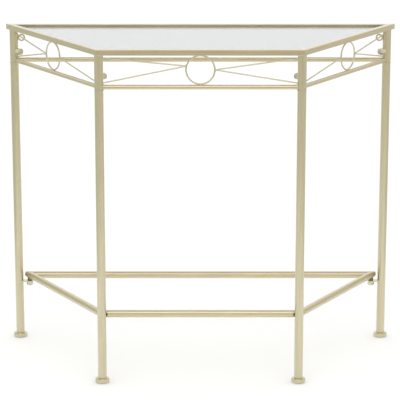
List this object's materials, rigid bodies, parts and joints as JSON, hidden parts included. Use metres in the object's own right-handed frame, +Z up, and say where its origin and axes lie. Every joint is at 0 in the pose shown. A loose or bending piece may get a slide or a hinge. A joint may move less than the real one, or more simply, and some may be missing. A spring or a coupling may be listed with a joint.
{
  "type": "console table",
  "caption": "Half-hexagon console table: welded metal frame with an inset glass pane, an apron of rings and crossed wires, bolt-on round legs and an open lower frame.",
  "frame": {"origin": "on the floor, under the middle of the table's bounding box", "axes": "+X to the right along the long back edge, +Y to the back (the wall side), +Z up; the short edge of the top faces -Y"},
  "size_m": [0.87, 0.3516, 0.73],
  "materials": {
    "champagne_paint": "satin champagne-gold metallic powder coat on steel",
    "bolt_zinc": "yellow-passivated zinc plate",
    "glass_clear": "clear toughened float glass with ground edges",
    "pad_clear": "clear soft polyurethane bumper",
    "glide_plastic": "natural polyethylene, matt"
  },
  "bodies": {
    "frame": {"apron_rail_back": "champagne_paint", "apron_rail_front": "champagne_paint", "apron_rail_left": "champagne_paint", "apron_rail_right": "champagne_paint", "apron_ring_front": "champagne_paint", "apron_ring_left": "champagne_paint", "apron_ring_right": "champagne_paint", "foot_back_left": "champagne_paint", "foot_back_right": "champagne_paint", "foot_front_left": "champagne_paint", "foot_front_right": "champagne_paint", "foot_glides": "glide_plastic", "glass_ledge_back": "champagne_paint", "glass_ledge_front": "champagne_paint", "glass_ledge_left": "champagne_paint", "glass_ledge_right": "champagne_paint", "glass_pads": "pad_clear", "leg_back_left": "champagne_paint", "leg_back_right": "champagne_paint", "leg_bolt_nuts": "champagne_paint", "leg_bolts": "bolt_zinc", "leg_front_left": "champagne_paint", "leg_front_right": "champagne_paint", "leg_spigot_back_left": "champagne_paint", "leg_spigot_back_right": "champagne_paint", "leg_spigot_front_left": "champagne_paint", "leg_spigot_front_right": "champagne_paint", "post_back_left": "champagne_paint", "post_back_right": "champagne_paint", "post_front_left": "champagne_paint", "post_front_right": "champagne_paint", "stretcher_back": "champagne_paint", "stretcher_bracket_back_left": "champagne_paint", "stretcher_bracket_back_right": "champagne_paint", "stretcher_bracket_front_left": "champagne_paint", "stretcher_bracket_front_right": "champagne_paint", "stretcher_front": "champagne_paint", "stretcher_left": "champagne_paint", "stretcher_nuts": "bolt_zinc", "stretcher_right": "champagne_paint", "stretcher_studs": "bolt_zinc", "top_rail_back": "champagne_paint", "top_rail_front": "champagne_paint", "top_rail_left": "champagne_paint", "top_rail_right": "champagne_paint", "wall_eyelets": "champagne_paint", "wire_front_lower_at_front_left": "champagne_paint", "wire_front_lower_at_front_right": "champagne_paint", "wire_front_upper_at_front_left": "champagne_paint", "wire_front_upper_at_front_right": "champagne_paint", "wire_left_lower_at_back_left": "champagne_paint", "wire_left_lower_at_front_left": "champagne_paint", "wire_left_upper_at_back_left": "champagne_paint", "wire_left_upper_at_front_left": "champagne_paint", "wire_right_lower_at_back_right": "champagne_paint", "wire_right_lower_at_front_right": "champagne_paint", "wire_right_upper_at_back_right": "champagne_paint", "wire_right_upper_at_front_right": "champagne_paint"},
    "pane": {"glass_top": "glass_clear"}
  },
  "joints": [
    {"name": "glass_lift", "type": "slide", "parent": "frame", "child": "pane", "axis": [0, 0, 1], "range_m": [0, 0.1]}
  ]
}
